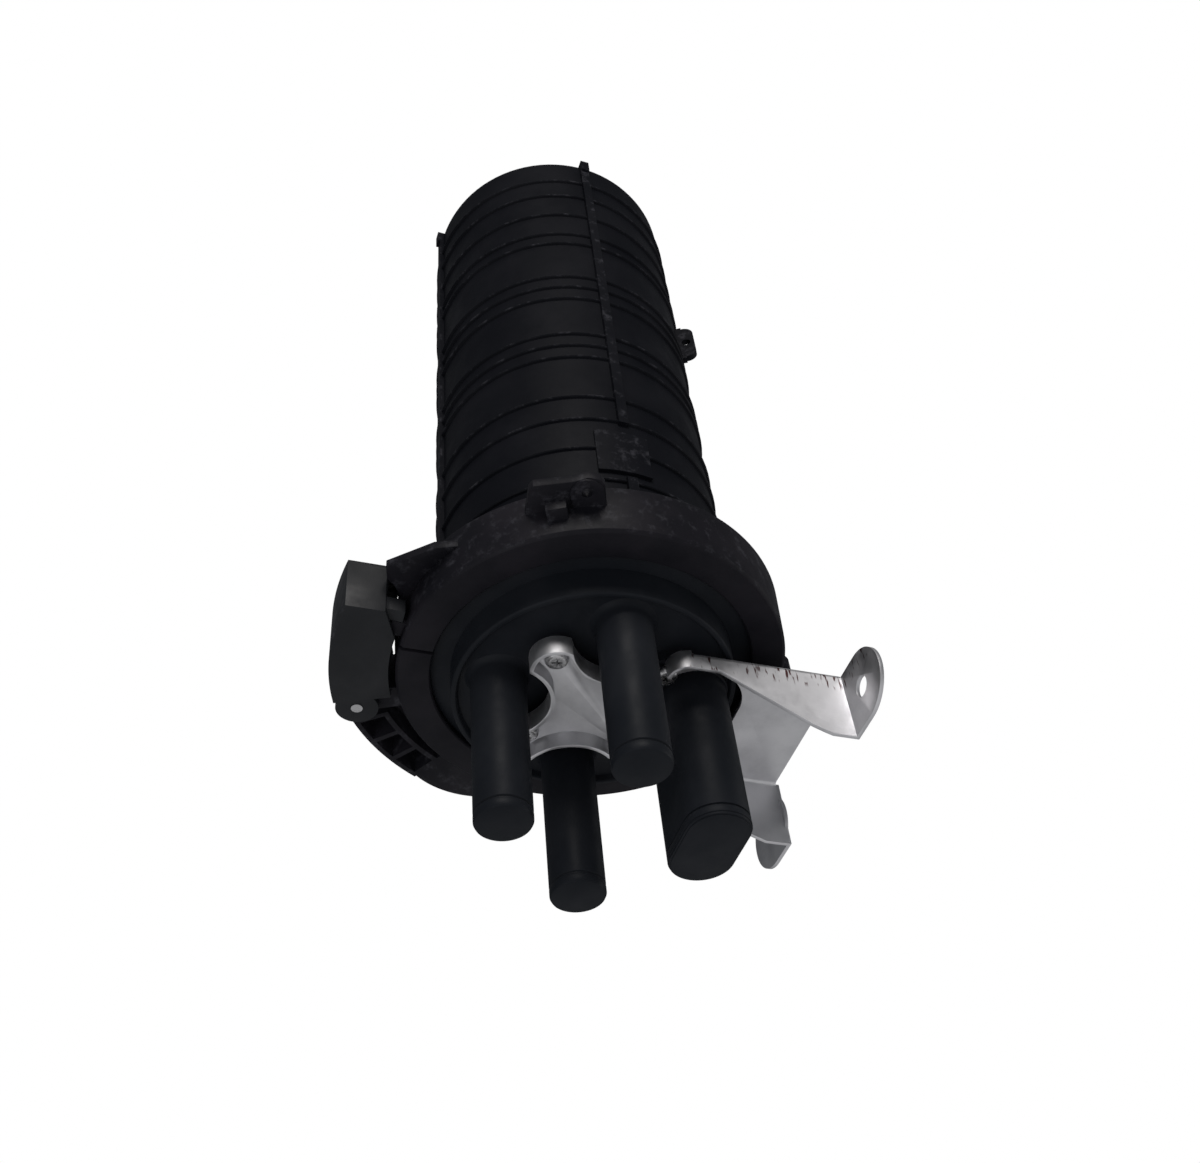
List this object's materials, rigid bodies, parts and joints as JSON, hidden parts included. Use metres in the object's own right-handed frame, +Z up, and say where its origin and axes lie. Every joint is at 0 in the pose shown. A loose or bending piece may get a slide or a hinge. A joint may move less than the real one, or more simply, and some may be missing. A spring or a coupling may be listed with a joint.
{
  "type": "dome splice closure",
  "caption": "Ribbed black dome clamped by a latched hoop to a base with closed cable tubes, carried by a folded steel wall bracket; splice trays inside.",
  "frame": {"origin": "on the wall plane, midway between the two holes of the bracket's ears", "axes": "+Z up along the dome's axis, +Y into the wall, +X to the right seen from in front of the wall"},
  "size_m": [0.2372, 0.251, 0.512],
  "materials": {
    "dome_plastic": "fine matte moulded texture",
    "base_plastic": "fine matte moulded texture",
    "hoop_plastic": "satin, handled",
    "lever_plastic": "satin, handled",
    "seal_rubber": "dull",
    "pin_steel": "turned",
    "bracket_steel": "satin sheet",
    "screw_steel": "zinc-coloured",
    "frame_aluminium": "mill finish",
    "tray_plastic": "pale moulded plastic",
    "block_plastic": "moulded",
    "comb_plastic": "moulded",
    "cover_plastic": "clear",
    "strap_fabric": "woven"
  },
  "bodies": {
    "closure": {"dome": "dome_plastic", "base": "base_plastic", "seal_ring": "seal_rubber", "hoop_upper": "hoop_plastic", "hoop_catch": "hoop_plastic", "hoop_hinge_pin": "pin_steel", "wall_bracket": "bracket_steel", "bracket_screws": "screw_steel", "tray_frame": "frame_aluminium", "frame_screws": "screw_steel", "storage_basket": "tray_plastic", "basket_screws": "screw_steel", "tray_hinge_block": "block_plastic", "tray_hinge_pins": "pin_steel", "splice_tray_1": "tray_plastic", "splice_tray_2": "tray_plastic", "splice_tray_3": "tray_plastic", "splice_tray_4": "tray_plastic", "splice_comb_1": "comb_plastic", "splice_comb_2": "comb_plastic", "splice_comb_3": "comb_plastic", "splice_comb_4": "comb_plastic", "tray_cover": "cover_plastic", "tray_strap": "strap_fabric", "strength_clamps": "frame_aluminium", "clamp_screws": "screw_steel"},
    "hoop_half": {"hoop_lower": "hoop_plastic", "latch_pin": "pin_steel"},
    "lever": {"latch_lever": "lever_plastic"}
  },
  "joints": [
    {"name": "clamp_hinge", "type": "hinge", "parent": "closure", "child": "hoop_half", "pos_m": [0, -0.01, 0.0535], "axis": [0, 0, -1], "range_deg": [0, 3.5]},
    {"name": "latch", "type": "hinge", "parent": "hoop_half", "child": "lever", "pos_m": [-0.04767, -0.2303, 0.054], "axis": [0, 0, -1], "range_deg": [0, 105]}
  ],
  "couplings": [
    {"joint": "clamp_hinge", "follows": "latch", "ratio": 0.03}
  ]
}
